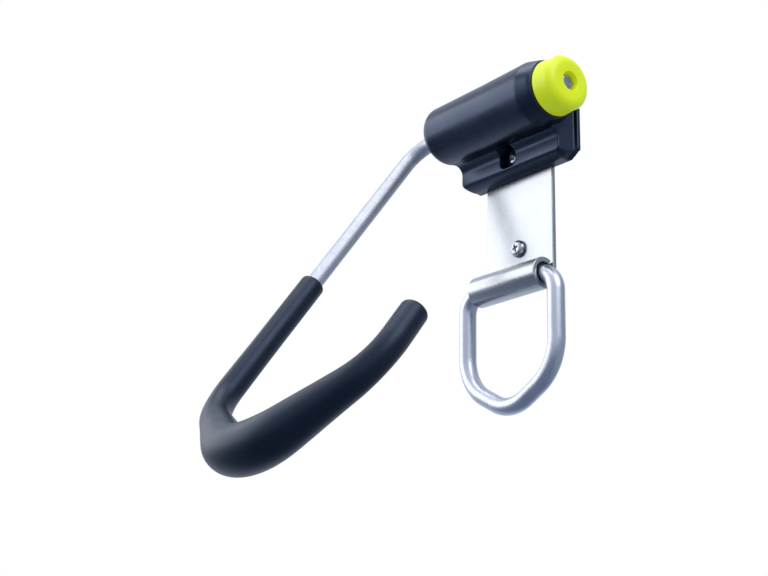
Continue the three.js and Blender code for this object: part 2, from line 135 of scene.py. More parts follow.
def pivot(joint: str) -> Vector:
    """Return the place of a hinge."""
    return Vector(next(j for j in frame["joints"] if j["name"] == joint)["pos_m"])


def screw_axis(node: str) -> Vector:
    """Return the point where a screw's axis meets the wall."""
    low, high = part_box(node)
    return Vector(((low.x + high.x) / 2, 0.0, (low.z + high.z) / 2))


def barrel_axis() -> Vector:
    """Return the point of the barrel's axis at X = 0."""
    hinge = pivot("hook_swing")
    return Vector((0.0, hinge.y, hinge.z))


def quarter(steps: int) -> list[float]:
    """Return the angles, in radians, of a quarter turn in equal steps."""
    return [math.pi / 2 * i / steps for i in range(steps + 1)]


# ---------------------------------------------------------------- materials


def srgb(code: str) -> Colour:
    """Turn an sRGB hex colour into linear light.

    Args:
        code: Six hex digits with a leading '#'.

    Returns:
        Linear red, green, blue and an alpha of 1.
    """
    parts = [int(code[i : i + 2], 16) / 255 for i in (1, 3, 5)]
    linear = [c / 12.92 if c <= 0.04045 else ((c + 0.055) / 1.055) ** 2.4 for c in parts]
    return (linear[0], linear[1], linear[2], 1.0)


def add_node(
    tree: Tree,
    kind: str,
    settings: dict[str, object] | None = None,
    inputs: dict[str | int, object] | None = None,
) -> bpy.types.Node:
    """Add a node with its settings, values and links.

    Args:
        tree: The node tree to add to.
        kind: The node's bl_idname.
        settings: Attributes to set on the node.
        inputs: Socket name or number to a value, or to an output socket to link.

    Returns:
        The new node.
    """
    node = tree.nodes.new(kind)
    for name, value in (settings or {}).items():
        setattr(node, name, value)
    for key, value in (inputs or {}).items():
        if isinstance(value, Socket):
            tree.links.new(value, node.inputs[key])
        else:
            node.inputs[key].default_value = value
    return node


def new_material(name: str) -> tuple[bpy.types.Material, Tree, bpy.types.Node]:
    """Make an empty node material.

    Args:
        name: The material's name.

    Returns:
        The material, its tree and its Principled shader, already linked to the output.
    """
    material = bpy.data.materials.new(name)
    material.use_nodes = True
    tree = material.node_tree
    tree.nodes.clear()
    shader = add_node(tree, "ShaderNodeBsdfPrincipled")
    add_node(tree, "ShaderNodeOutputMaterial", inputs={"Surface": shader.outputs["BSDF"]})
    return material, tree, shader


def noise(
    tree: Tree, size_mm: float, stretch: Triple = (1.0, 1.0, 1.0), detail: float = 2.0
) -> Socket:
    """Add object-space noise with features of a real size.

    Args:
        tree: The material's tree.
        size_mm: Feature size in millimetres.
        stretch: Scale of the pattern along each axis before the noise is read.
        detail: Octaves of finer noise.

    Returns:
        The noise factor socket.
    """
    coords = add_node(tree, "ShaderNodeTexCoord")
    mapping = add_node(
        tree, "ShaderNodeMapping", inputs={"Vector": coords.outputs["Object"], "Scale": stretch}
    )
    texture = add_node(
        tree,
        "ShaderNodeTexNoise",
        inputs={"Vector": mapping.outputs[0], "Scale": 1.0 / (size_mm * MM), "Detail": detail},
    )
    return texture.outputs["Factor" if "Factor" in texture.outputs else "Fac"]


def spread(tree: Tree, value: Socket, low: float, high: float) -> Socket:
    """Map noise, which sits between about 0.3 and 0.7, to the range from low to high."""
    inputs = {0: value, 1: 0.3, 2: 0.7, 3: low, 4: high}
    return add_node(tree, "ShaderNodeMapRange", inputs=inputs).outputs[0]


def blend(tree: Tree, factor: Socket, first: Colour | Socket, second: Colour | Socket) -> Socket:
    """Blend two colours.

    Args:
        tree: The node tree.
        factor: Blend factor, 0 for the first colour.
        first: First colour.
        second: Second colour.

    Returns:
        The colour socket.
    """
    # A Mix node keeps its colours in sockets 6 and 7 and gives a colour in output 2.
    inputs = {0: factor, 6: first, 7: second}
    return add_node(tree, "ShaderNodeMix", {"data_type": "RGBA"}, inputs).outputs[2]


def ramp(tree: Tree, value: Socket, start: float, end: float) -> Socket:
    """Rise smoothly from 0 to 1 while a value goes from start to end."""
    settings, inputs = {"interpolation_type": "SMOOTHSTEP"}, {0: value, 1: start, 2: end}
    return add_node(tree, "ShaderNodeMapRange", settings, inputs).outputs[0]


def towards(tree: Tree, ray: Socket, direction: Triple) -> Socket:
    """Return how far a ray points in a direction, from -1 to 1."""
    settings, inputs = {"operation": "DOT_PRODUCT"}, {0: ray, 1: direction}
    return add_node(tree, "ShaderNodeVectorMath", settings, inputs).outputs["Value"]


def bump(
    tree: Tree, shader: bpy.types.Node, grain: Socket, strength: float, depth_mm: float
) -> None:
    """Give a shader's surface a fine relief.

    Args:
        tree: The material's tree.
        shader: The Principled shader.
        grain: Height of the relief.
        strength: Strength of the bump.
        depth_mm: Its depth in millimetres.
    """
    inputs = {"Height": grain, "Strength": strength, "Distance": depth_mm * MM}
    relief = add_node(tree, "ShaderNodeBump", inputs=inputs)
    tree.links.new(relief.outputs[0], shader.inputs["Normal"])


@dataclass(frozen=True)
class PlatedSteel:
    """Steel with a bright zinc plating.

    Zinc over drawn or rolled steel gives the eye a pale, slightly blue metal. Its gloss
    is broken by the fine lines of the steel below and by faint clouds in the plating.
    """

    name: str
    light: str
    dark: str
    roughness: float
    grain_mm: float
    stretch: Triple = (1.0, 1.0, 1.0)
    cloud_mm: float = 9.0
    bump_mm: float = 0.0004

    def build(self) -> bpy.types.Material:
        """Return the material."""
        material, tree, shader = new_material(self.name)
        clouds = noise(tree, self.cloud_mm)
        grain = noise(tree, self.grain_mm, self.stretch)
        colour = blend(tree, spread(tree, clouds, 0.0, 1.0), srgb(self.light), srgb(self.dark))
        tree.links.new(colour, shader.inputs["Base Color"])
        rough = spread(tree, grain, self.roughness * 0.94, self.roughness * 1.06)
        tree.links.new(rough, shader.inputs["Roughness"])
        shader.inputs["Metallic"].default_value = 1.0
        bump(tree, shader, grain, 0.35, self.bump_mm)
        return material


@dataclass(frozen=True)
class MouldedPlastic:
    """Injection-moulded nylon with a fine spark-eroded texture.

    The texture gives a soft satin gloss; faint flow clouds vary it across the piece.
    """

    name: str
    base: str
    worn: str
    roughness: float
    smoother: float = 0.05
    rougher: float = 0.06
    cloud_mm: float = 14.0
    cloud_detail: float = 2.0
    grain_mm: float = 0.35
    bump_strength: float = 0.5
    bump_mm: float = 0.02
    ior: float = 1.53
    specular: float = 0.5
    gloss: str = "#ffffff"
    subsurface: float = 0.0
    # Painted light: strength of a fixed glow in the base colour, though the piece is no lamp.
    painted_glow: float = 0.0

    def build(self) -> bpy.types.Material:
        """Return the material."""
        material, tree, shader = new_material(self.name)
        clouds = noise(tree, self.cloud_mm, detail=self.cloud_detail)
        grain = noise(tree, self.grain_mm)
        colour = blend(tree, spread(tree, clouds, 0.0, 1.0), srgb(self.base), srgb(self.worn))
        tree.links.new(colour, shader.inputs["Base Color"])
        rough = spread(tree, clouds, self.roughness - self.smoother, self.roughness + self.rougher)
        tree.links.new(rough, shader.inputs["Roughness"])
        constants = {
            "IOR": self.ior,
            "Specular IOR Level": self.specular,
            "Specular Tint": srgb(self.gloss),
            "Subsurface Weight": self.subsurface,
            "Subsurface Scale": 1.5 * MM,
            # Painted light: a fixed glow in the piece's own colour brightens it under any lamp, a
            # stand-in for fluorescence.
            "Emission Color": srgb(self.base),
            "Emission Strength": self.painted_glow,
        }
        for socket, value in constants.items():
            shader.inputs[socket].default_value = value
        bump(tree, shader, grain, self.bump_strength, self.bump_mm)
        return material


@dataclass(frozen=True)
class MouldedRubber(MouldedPlastic):
    """Soft moulded rubber: smooth, slightly blooming, with a broad soft gloss."""

    smoother: float = 0.04
    cloud_mm: float = 22.0
    cloud_detail: float = 3.0
    grain_mm: float = 0.5
    bump_strength: float = 0.4
    bump_mm: float = 0.012
    ior: float = 1.52


@dataclass(frozen=True)
class Finishes:
    """Every finish of the rack."""

    # Bright zinc on rolled sheet; the rolling lines run up and down the plate.
    plate: PlatedSteel = PlatedSteel(
        "bright_zinc_on_rolled_sheet", "#babcbf", "#b4b7bb", 0.28, 1.2, (2.0, 1.0, 0.2),
        cloud_mm=16.0, bump_mm=0.00008,
    )
    # Satin zinc on drawn round bar: a broad soft highlight.
    hook: PlatedSteel = PlatedSteel("satin_zinc_on_drawn_bar", "#c2c6d0", "#babec9", 0.54, 2.2)
    # Bright zinc on drawn round bar: a little sharper than the hook's.
    ring: PlatedSteel = PlatedSteel("bright_zinc_on_drawn_bar", "#cdd1dc", "#c4c9d5", 0.37, 2.2)
    # Zinc on cold-headed fasteners.
    fastener: PlatedSteel = PlatedSteel(
        "zinc_on_cold_headed_steel", "#bfc3ca", "#a9aeb6", 0.24, 0.6, cloud_mm=3.0
    )
    # Black glass-filled nylon with a cool gloss.
    housing: MouldedPlastic = MouldedPlastic(
        "satin_black_moulded_nylon", "#08101c", "#0f1826", 0.30, specular=0.76, gloss="#b4cfff"
    )
    # Natural nylon of the pivot bushes.
    bush: MouldedPlastic = MouldedPlastic("natural_turned_nylon", "#dcd9ce", "#cfccc0", 0.4)
    # Dense black rubber that grips the rim.
    cover: MouldedRubber = MouldedRubber(
        "black_moulded_rubber", "#0a1320", "#0f1927", 0.40, gloss="#c2d8ff"
    )
    # Lime thermoplastic rubber of the bumper cap; its glow is painted light that brightens the lime.
    cap: MouldedRubber = MouldedRubber(
        "lime_moulded_rubber", "#cfe112", "#c6d80d", 0.36, subsurface=0.12, painted_glow=0.34
    )


# ---------------------------------------------------------------- mesh tools


def crisp(obj: Piece, sharp_deg: float = SHARP_DEG) -> None:
    """Shade smooth, keeping edges crisp that turn more than sharp_deg."""
    obj.data.shade_smooth()
    obj.data.set_sharp_from_angle(angle=math.radians(sharp_deg))


def mesh_object(name: str, maker: bmesh.types.BMesh, sharp_deg: float = SHARP_DEG) -> Piece:
    """Turn a bmesh into a smooth-shaded object at the origin.

    Args:
        name: The object's name.
        maker: The bmesh; it is freed.
        sharp_deg: Edges that turn more than this stay crisp.

    Returns:
        The new object.
    """
    bmesh.ops.recalc_face_normals(maker, faces=maker.faces)
    mesh = bpy.data.meshes.new(name)
    maker.to_mesh(mesh)
    maker.free()
    obj = bpy.data.objects.new(name, mesh)
    bpy.context.scene.collection.objects.link(obj)
    crisp(obj, sharp_deg)
    return obj


def arc(centre: Pair, radius: float, start: float, end: float, steps: int) -> list[Pair]:
    """Return points on a flat arc.

    Args:
        centre: Centre of the arc.
        radius: Radius of the arc.
        start: First angle in degrees.
        end: Last angle in degrees.
        steps: Number of equal steps.

    Returns:
        steps + 1 points, ends included.
    """
    angles = [math.radians(start + (end - start) * i / steps) for i in range(steps + 1)]
    return [(centre[0] + radius * math.cos(a), centre[1] + radius * math.sin(a)) for a in angles]


def around(centre: Vector, axis: Axis, along: float, radius: float, angle: float) -> Vector:
    """Return the point at a place, a radius and an angle (radians) round an axis."""
    side, up = radius * math.cos(angle), radius * math.sin(angle)
    return centre + Vector((along, side, up) if axis is Axis.X else (side, along, up))


def stitch(
    maker: bmesh.types.BMesh,
    near: Sequence[bmesh.types.BMVert],
    far: Sequence[bmesh.types.BMVert],
) -> None:
    """Join two rings of vertices with faces; a ring of one vertex is a pole.

    Args:
        maker: The bmesh to add to.
        near: First ring.
        far: Second ring.
    """
    count = max(len(near), len(far))
    for i in range(count):
        j = (i + 1) % count
        corners = [near[i % len(near)], near[j % len(near)], far[j % len(far)], far[i % len(far)]]
        unique = list(dict.fromkeys(corners))
        if len(unique) > 2:
            maker.faces.new(unique)


def skinned(
    name: str, loops: Sequence[Sequence[Vector]], ends: Ends, sharp_deg: float = SHARP_DEG
) -> Piece:
    """Stretch a skin over closed loops of points.

    Args:
        name: The object's name.
        loops: Loops of points; a loop of one point is a pole.
        ends: Whether the ends stay open, get a flat cap or join each other.
        sharp_deg: Edges that turn more than this stay crisp.

    Returns:
        The new object.
    """
    maker = bmesh.new()
    rings = [[maker.verts.new(p) for p in loop] for loop in loops]
    if ends is Ends.JOINED:
        rings.append(rings[0])
    for near, far in zip(rings, rings[1:]):
        stitch(maker, near, far)
    if ends is Ends.CAPPED:
        maker.faces.new(rings[0])
        maker.faces.new(rings[-1])
    return mesh_object(name, maker, sharp_deg)


def lofted(name: str, loops: Sequence[Sequence[Vector]]) -> Piece:
    """Join closed loops of one length into a body with flat ends."""
    return skinned(name, loops, Ends.CAPPED)


def pulled(name: str, section: Sequence[Pair], start: float, end: float, origin: Vector) -> Piece:
    """Pull a flat outline along X into a body.

    Args:
        name: The object's name.
        section: (y, z) corners, measured from the origin.
        start: X of its first end.
        end: X of its other end.
        origin: Where the section's zero is.

    Returns:
        The new object.
    """
    loops = [[origin + Vector((x, y, z)) for y, z in section] for x in (start, end)]
    return lofted(name, loops)


def turned(
    name: str, profile: Sequence[Pair], centre: Vector, axis: Axis, segments: int = 96
) -> Piece:
    """Turn a profile round an axis into a closed body.

    Args:
        name: The object's name.
        profile: (radius, place along the axis) pairs. A profile that doesn't start and
            end on the axis closes on itself.
        centre: A point on the axis.
        axis: The axis it is turned round.
        segments: Number of sides.

    Returns:
        The new object.
    """
    loops = [
        [
            around(centre, axis, along, radius, FULL * i / segments)
            for i in range(1 if radius < POLE_R else segments)
        ]
        for radius, along in profile
    ]
    hollow = len(loops[0]) > 1 and len(loops[-1]) > 1
    return skinned(name, loops, Ends.JOINED if hollow else Ends.OPEN)


def chamfered(hole: float, rim: float, low: float, high: float, ease: float) -> list[Pair]:
    """Return the profile of a washer whose outer edges are eased.

    Args:
        hole: Radius of its hole.
        rim: Outer radius.
        low: Place of its first face.
        high: Place of its other face.
        ease: Size of the chamfer.

    Returns:
        (radius, place) pairs for turned.
    """
    return [
        (hole, low),
        (rim - ease, low),
        (rim, low + ease),
        (rim, high - ease),
        (rim - ease, high),
        (hole, high),
    ]


def drill(node: str, front: float, back: float) -> Piece:
    """Return the tool that drills a wall screw's hole.

    Args:
        node: The screw's CAD node.
        front: Where the tool starts on Y.
        back: Where it ends.

    Returns:
        The tool.
    """
    profile = [(0.0, front), (SCREW_HOLE_R, front), (SCREW_HOLE_R, back), (0.0, back)]
    return turned("drill", profile, screw_axis(node), Axis.Y, 48)


def rounded_path(corners: Sequence[Triple]) -> list[Vector]:
    """Round the inner corners of a flat line.

    Args:
        corners: (u, v, bend radius) of each corner; the two ends aren't rounded.

    Returns:
        Flat points, ends included.
    """
    points = [Vector(corners[0][:2])]
    for before, (u, v, bend), after in zip(corners, corners[1:], corners[2:]):
        here = Vector((u, v))
        back = (Vector(before[:2]) - here).normalized()
        ahead = (Vector(after[:2]) - here).normalized()
        turn = math.pi - back.angle(ahead)
        reach = bend * math.tan(turn / 2)
        centre = here + (back + ahead).normalized() * math.hypot(bend, reach)
        spoke = here + back * reach - centre
        sign = 1.0 if back.x * ahead.y - back.y * ahead.x < 0 else -1.0
        steps = max(3, round(math.degrees(turn) / BEND_STEP_DEG))
        for k in range(steps + 1):
            points.append(centre + Matrix.Rotation(sign * turn * k / steps, 2) @ spoke)
    points.append(Vector(corners[-1][:2]))
    return points


def refined(points: Sequence[Vector], longest: float) -> list[Vector]:
    """Split the runs of a line that are longer than the longest step."""
    result = [points[0]]
    for before, after in zip(points, points[1:]):
        parts = max(1, math.ceil((after - before).length / longest))
        result.extend(before.lerp(after, k / parts) for k in range(1, parts + 1))
    return result


def settle(obj: Piece) -> None:
    """Turn an object's modifiers into plain mesh."""
    graph = bpy.context.evaluated_depsgraph_get()
    old = obj.data
    mesh = bpy.data.meshes.new_from_object(obj.evaluated_get(graph), depsgraph=graph)
    obj.modifiers.clear()
    obj.data = mesh
    mesh.name = old.name
    bpy.data.meshes.remove(old)


def cut(obj: Piece, tool: Piece, operation: str = "DIFFERENCE") -> None:
    """Cut, join or trim a body with a tool body, which is then removed.

    Args:
        obj: The body that is changed.
        tool: The tool body.
        operation: A Boolean modifier operation.
    """
    modifier = obj.modifiers.new("shape", "BOOLEAN")
    modifier.operation = operation
    modifier.solver = "MANIFOLD"
    modifier.object = tool
    settle(obj)
    bpy.data.objects.remove(tool)


def dress(obj: Piece, node: str, body: Body, material: bpy.types.Material) -> None:
    """Give a finished piece its material and its body, and hide the CAD node it stands for.

    Args:
        obj: The piece.
        node: The CAD node it replaces.
        body: The body it rides on.
        material: The finish.
    """
    obj.data.materials.clear()
    obj.data.materials.append(material)
    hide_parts(node)
    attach(obj, body.value)
    obj.data.calc_loop_triangles()
    log.info("%s: %d triangles, %s", obj.name, len(obj.data.loop_triangles), material.name)


# ---------------------------------------------------------------- bar swept by nodes


def bar_tree() -> Tree:
    """Build the node tree that sweeps a round bar along a line of edges.

    Returns:
        A tree with inputs Bar Radius, Sides and Finish.
    """
    tree = bpy.data.node_groups.new("round_bar_along_line", "GeometryNodeTree")
    face = tree.interface
    for name, kind in (
        ("Geometry", "Geometry"),
        ("Bar Radius", "Float"),
        ("Sides", "Int"),
        ("Finish", "Material"),
    ):
        face.new_socket(name, in_out="INPUT", socket_type="NodeSocket" + kind)
    face.new_socket("Geometry", in_out="OUTPUT", socket_type="NodeSocketGeometry")
    start = add_node(tree, "NodeGroupInput")
    line = add_node(tree, "GeometryNodeMeshToCurve", inputs={0: start.outputs["Geometry"]})
    circle = add_node(
        tree,
        "GeometryNodeCurvePrimitiveCircle",
        inputs={"Resolution": start.outputs["Sides"], "Radius": start.outputs["Bar Radius"]},
    )
    curves = {"Curve": line.outputs[0], "Profile Curve": circle.outputs["Curve"]}
    swept = add_node(tree, "GeometryNodeCurveToMesh", inputs={**curves, "Fill Caps": True})
    real = add_node(tree, "GeometryNodeRealizeInstances", inputs={0: swept.outputs[0]})
    painted = add_node(
        tree,
        "GeometryNodeSetMaterial",
        inputs={"Geometry": real.outputs[0], "Material": start.outputs["Finish"]},
    )
    add_node(tree, "NodeGroupOutput", inputs={0: painted.outputs[0]})
    return tree


def swept_bar(
    name: str, line: Sequence[Vector], closed: bool, radius: float, finish: bpy.types.Material
) -> Piece:
    """Sweep a round bar along a line with the bar tree.

    Args:
        name: The object's name.
        line: Points of the bar's centre line.
        closed: Whether the last point joins the first.
        radius: Bar radius.
        finish: Its material.

    Returns:
        The bar as a plain mesh object.
    """
    mesh = bpy.data.meshes.new(name)
    edges = [(i, i + 1) for i in range(len(line) - 1)]
    if closed:
        edges.append((len(line) - 1, 0))
    mesh.from_pydata([tuple(p) for p in line], edges, [])
    obj = bpy.data.objects.new(name, mesh)
    bpy.context.scene.collection.objects.link(obj)
    tree = bpy.data.node_groups.get("round_bar_along_line") or bar_tree()
    modifier = obj.modifiers.new("bar", "NODES")
    modifier.node_group = tree
    ids = {
        item.name: item.identifier
        for item in tree.interface.items_tree
        if item.item_type == "SOCKET" and item.in_out == "INPUT"
    }
    for label, value in (("Bar Radius", radius), ("Sides", BAR_SIDES), ("Finish", finish)):
        modifier[ids[label]] = value
    settle(obj)
    maker = bmesh.new()
    maker.from_mesh(obj.data)
    bmesh.ops.remove_doubles(maker, verts=maker.verts, dist=POLE_R)
    bmesh.ops.recalc_face_normals(maker, faces=maker.faces)
    maker.to_mesh(obj.data)
    maker.free()
    crisp(obj)
    return obj


def threaded(
    name: str,
    centre: Vector,
    axis: Axis,
    reach: Pair,
    radius: float,
    depth: float,
    pitch: float,
    point: float = 0.0,
) -> Piece:
    """Build a threaded shank, closed at both ends.

    Args:
        name: The object's name.
        centre: A point on the axis.
        axis: The shank's axis.
        reach: Places of its free end and of its head end on the axis.
        radius: Crest radius.
        depth: Thread depth.
        pitch: Thread pitch.
        point: Length of a tapered point at the free end; without one, the end is eased.

    Returns:
        The shank.
    """
    sides, rows_per_turn, crest_width = 36, 8, 0.32
    # How thick the free end is, and how far on the shank has its full radius.
    tip, taper_end = (0.12, point) if point else (0.8, 0.6 * MM)
    # The thread runs out on its way to the head.
    plain, run_out = 0.8 * MM, 1.2 * MM
    start, end = reach
    length = abs(end - start)
    sign = 1.0 if end > start else -1.0
    rows = max(8, round(length / (pitch / rows_per_turn)))
    loops = []
    for row in range(rows + 1):
        s = length * row / rows
        taper = min(1.0, tip + (1.0 - tip) * s / taper_end)
        fade = min(1.0, max(0.0, (length - s - plain) / run_out))
        loop = []
        for i in range(sides):
            turn = i / sides
            phase = (s / pitch - turn) % 1.0
            crest = max(0.0, 1 - abs(phase - 0.5) / crest_width)
            r = taper * (radius - depth * (1 - crest) * fade)
            loop.append(around(centre, axis, start + sign * s, r, FULL * turn))
        loops.append(loop)
    return skinned(name, loops, Ends.CAPPED, 60.0)


# ---------------------------------------------------------------- the hook


@dataclass
class WheelHook:
    """The bent bar and its rubber cover, in one plane that leans out from the wall.

    Places down the plane are measured from the barrel's axis.
    """

    finishes: Finishes
    bar_r: float = 4.25 * MM
    mid_x: float = 2.5 * MM
    left_corner: float = 205.5 * MM
    right_corner: float = 203.5 * MM
    bow: float = 249.4 * MM
    top_bend: float = 13.0 * MM
    corner_bend: float = 32.0 * MM
    bow_bend: float = 42.0 * MM
    bar_end: float = 175.0 * MM
    washer_gap: float = 0.4 * MM
    cover_start: float = 112.5 * MM
    cover_end: float = 169.5 * MM
    cover_gap: float = 0.12 * MM
    cover_step: float = 2.0 * MM
    skin: float = 0.1 * MM
    mouth_r: float = 0.5 * MM
    lip_r: float = 1.5 * MM
    tip_r: float = 2.4 * MM
    tip_face_r: float = 2.2 * MM
    tip_crown: float = 0.3 * MM
    sides: int = 72
    sharp_deg: float = 50.0
    # Distance from the middle of the bow, and cover radius there, in millimetres.
    profile: tuple[Pair, ...] = (
        (0, 12.0), (14, 11.7), (32, 10.3), (52, 8.5), (74, 7.0), (96, 6.7), (120, 6.5), (200, 6.5),
    )
    axis: Vector = field(default_factory=barrel_axis)
    arm: Vector = field(init=False)
    left_x: float = field(init=False)
    right_x: float = field(init=False)
    shaft_x: float = field(init=False)

    def __post_init__(self) -> None:
        """Take the bar's reach from the frame."""
        lean = math.radians(LEAN_DEG)
        self.arm = Vector((0.0, -math.sin(lean), -math.cos(lean)))
        low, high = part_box("hook_rod")
        self.left_x = low.x + self.bar_r
        self.right_x = high.x - self.bar_r
        self.shaft_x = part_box("stop_washer")[0].x - self.washer_gap

    def spot(self, point: Vector) -> Vector:
        """Place a flat (u, v) point of the hook's plane in space."""
        return Vector((point.x, self.axis.y, self.axis.z)) + self.arm * point.y

    def corners(self, start: Triple, end: float) -> list[Triple]:
        """Return the bends from a first corner to the place where the tip arm ends."""
        return [
            start,
            (self.left_x, self.left_corner, self.corner_bend),
            (self.mid_x, self.bow, self.bow_bend),
            (self.right_x, self.right_corner, self.corner_bend),
            (self.right_x, end, 0.0),
        ]

    def build(self) -> None:
        """Build and dress the bar and the cover."""
        steel = self.finishes.hook.build()
        below = self.corners((self.left_x, 0.0, self.top_bend), self.bar_end)
        line = rounded_path([(self.shaft_x, 0.0, 0.0), *below])
        bar = swept_bar("hook_bar", [self.spot(p) for p in line], False, self.bar_r, steel)
        dress(bar, "hook_rod", Body.HOOK, steel)
        cover = self.cover()
        dress(cover, "cradle_cover", Body.HOOK, self.finishes.cover.build())

    def radius_at(self, distance: float) -> float:
        """Return the cover's radius at a distance from the middle of the bow.

        Args:
            distance: Distance along the bar, in metres.

        Returns:
            The radius in metres, on a smooth curve through the profile.
        """
        d = distance / MM
        table = self.profile
        i = max(k for k, (at, _) in enumerate(table[:-1]) if at <= d)
        (d0, r0), (d1, r1) = table[i], table[i + 1]
        before = table[i - 1] if i else (-table[1][0], table[1][1])
        after = table[i + 2] if i + 2 < len(table) else (2 * d1 - d0, r1)
        slope0 = (r1 - before[1]) / (d1 - before[0])
        slope1 = (after[1] - r0) / (after[0] - d0)
        span = d1 - d0
        t = (d - d0) / span
        cubic = (
            (2 * t**3 - 3 * t**2 + 1) * r0
            + (t**3 - 2 * t**2 + t) * span * slope0
            + (3 * t**2 - 2 * t**3) * r1
            + (t**3 - t**2) * span * slope1
        )
        return cubic * MM - self.skin

    def channel(self, places: Sequence[float]) -> list[Pair]:
        """Return the bar's blind channel, from its end to the cover's mouth.

        Args:
            places: Distance of each point of the cover's line from its start.

        Returns:
            (distance, radius) of each ring.
        """
        bore = self.bar_r + self.cover_gap
        end = places[-1] - (self.bar_end - self.cover_end) - FIT
        run = [(s, bore) for s in reversed(places) if 2 * MM < s < end - 1 * MM]
        inward, ease = 0.15 * MM, self.mouth_r
        mouth = [(ease, bore), (inward, bore + inward), (0.0, bore + ease)]
        return [(end, 0.0), (end, bore), *run, *mouth]

    def outside(self, places: Sequence[float], bow: float) -> list[Pair]:
        """Return the cover's outer side, from the rounded mouth to the rounded tip.

        Args:
            places: Distance of each point of the cover's line from its start.
            bow: Distance of the middle of the bow.

        Returns:
            (distance, radius) of each ring.
        """
        lip, tip, end, margin = self.lip_r, self.tip_r, places[-1], 0.5 * MM

        def ring(s: float, less: float = 0.0) -> Pair:
            """Return the ring at a distance, made smaller by less."""
            return (s, self.radius_at(abs(s - bow)) - less)

        return [
            *(ring(lip * (1 - math.cos(a)), lip * (1 - math.sin(a))) for a in quarter(8)),
            *(ring(s) for s in places if lip + margin < s < end - tip - margin),
            *(ring(end - tip * (1 - math.sin(a)), tip * (1 - math.cos(a))) for a in quarter(12)),
            (end + 0.25 * MM, self.tip_face_r),
            (end + self.tip_crown, 0.0),
        ]

    def cover(self) -> Piece:
        """Return the cover, one skin from the channel's end over the mouth to the tip."""
        start = (self.left_x, self.cover_start, 0.0)
        line = refined(rounded_path(self.corners(start, self.cover_end)), self.cover_step)
        places = [0.0]
        for before, after in zip(line, line[1:]):
            places.append(places[-1] + (after - before).length)
        bow = places[max(range(len(line)), key=lambda k: line[k].y)]
        normal = Vector((1, 0, 0)).cross(self.arm)
        loops = []
        for s, radius in self.channel(places) + self.outside(places, bow):
            on_line = min(s, places[-1])
            k = max(i for i, place in enumerate(places[:-1]) if place <= on_line)
            step = line[k + 1] - line[k]
            flat = step.normalized()
            direction = Vector((flat.x, 0, 0)) + self.arm * flat.y
            side = direction.cross(normal).normalized()
            centre = self.spot(line[k] + step * ((on_line - places[k]) / step.length))
            centre += direction * (s - on_line)
            turns = [FULL * i / self.sides for i in range(1 if radius < POLE_R else self.sides)]
            loops.append(
                [centre + (side * math.cos(a) + normal * math.sin(a)) * radius for a in turns]
            )
        return skinned("cradle_rubber", loops, Ends.OPEN, self.sharp_deg)


# ---------------------------------------------------------------- wall plate and ring


@dataclass
class WallPlate:
    """Flat steel plate with its lower end rolled into an eye."""

    finishes: Finishes
    inner_r: float = 5.65 * MM
    end_deg: float = 60.0
    edge: float = 0.45 * MM
    eye_steps: int = 90
    # Rounding of a long edge: how far in, and how much thinner, as parts of the edge.
    rounding: tuple[Pair, ...] = ((0.0, 1.0), (0.06, 0.62), (0.3, 0.28), (0.62, 0.06), (1.0, 0.0))

    def build(self) -> None:
        """Build and dress the plate."""
        low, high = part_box("wall_plate")
        middle_y = high.y - PLATE_THICK / 2
        outer_r = self.inner_r + PLATE_THICK
        line = [
            (middle_y, high.z - self.edge),
            (middle_y, high.z / 2),
            *arc(
                (high.y - outer_r, low.z + outer_r),
                self.inner_r + PLATE_THICK / 2,
                0.0,
                -360.0 + self.end_deg,
                self.eye_steps,
            ),
        ]
        left = [(low.x + inward * self.edge, thin * self.edge) for inward, thin in self.rounding]
        right = [(high.x - inward * self.edge, thin * self.edge) for inward, thin in self.rounding]
        plate = self.sheet(line, left + right[::-1])
        for node in ("lower_wall_screw", "upper_wall_screw"):
            cut(plate, drill(node, -8 * MM, 5 * MM))
        crisp(plate)
        dress(plate, "wall_plate", Body.WALL, self.finishes.plate.build())

    def sheet(self, line: Sequence[Pair], across: Sequence[Pair]) -> Piece:
        """Give a flat (y, z) line its thickness and width, with rounded long edges.

        Args:
            line: The sheet's middle line.
            across: (x, how much thinner each side is there) from one edge to the other.

        Returns:
            The sheet's object.
        """
        maker = bmesh.new()
        points = [Vector(p) for p in line]
        normals = []
        for before, after in zip([points[0], *points], [*points[1:], points[-1]]):
            run = (after - before).normalized()
            normals.append(Vector((run.y, -run.x)))
        rings = []
        for x, thin in across:
            half = PLATE_THICK / 2 - thin
            outer = [p + n * half for p, n in zip(points, normals)]
            inner = [p - n * half for p, n in zip(points, normals)]
            rings.append([maker.verts.new((x, p.x, p.y)) for p in outer + inner[::-1]])
        for near, far in zip(rings, rings[1:]):
            stitch(maker, near, far)
        for ring in (rings[0], rings[-1]):
            for i in range(len(points) - 1):
                maker.faces.new([ring[i], ring[i + 1], ring[-2 - i], ring[-1 - i]])
        return mesh_object("rolled_eye_plate", maker)


@dataclass
class LockRing:
    """Five-sided loop of round bar that hangs in the plate's eye."""

    finishes: Finishes
    bar_r: float = 4.5 * MM
    top_bend: float = 10.5 * MM
    corner_bend: float = 26.0 * MM
    tip_bend: float = 24.0 * MM
    corner_drop: float = 49.2 * MM
    tip_drop: float = 66.9 * MM

    def build(self) -> None:
        """Build and dress the ring."""
        hinge = pivot("lock_ring_swing")
        low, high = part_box("lock_ring")
        middle = (low.x + high.x) / 2
        half = (high.x - low.x) / 2 - self.bar_r
        corners = [
            (0.0, 0.0, 0.0),
            (-half, 0.0, self.top_bend),
            (-half, -self.corner_drop, self.corner_bend),
            (0.0, -self.tip_drop, self.tip_bend),
            (half, -self.corner_drop, self.corner_bend),
            (half, 0.0, self.top_bend),
            (0.0, 0.0, 0.0),
        ]
        flat = rounded_path(corners)[:-1]
        line = [Vector((middle + p.x, hinge.y, hinge.z + p.y)) for p in flat]
        steel = self.finishes.ring.build()
        ring = swept_bar("lock_ring_bar", line, True, self.bar_r, steel)
        dress(ring, "lock_ring", Body.RING, steel)


# ---------------------------------------------------------------- housing


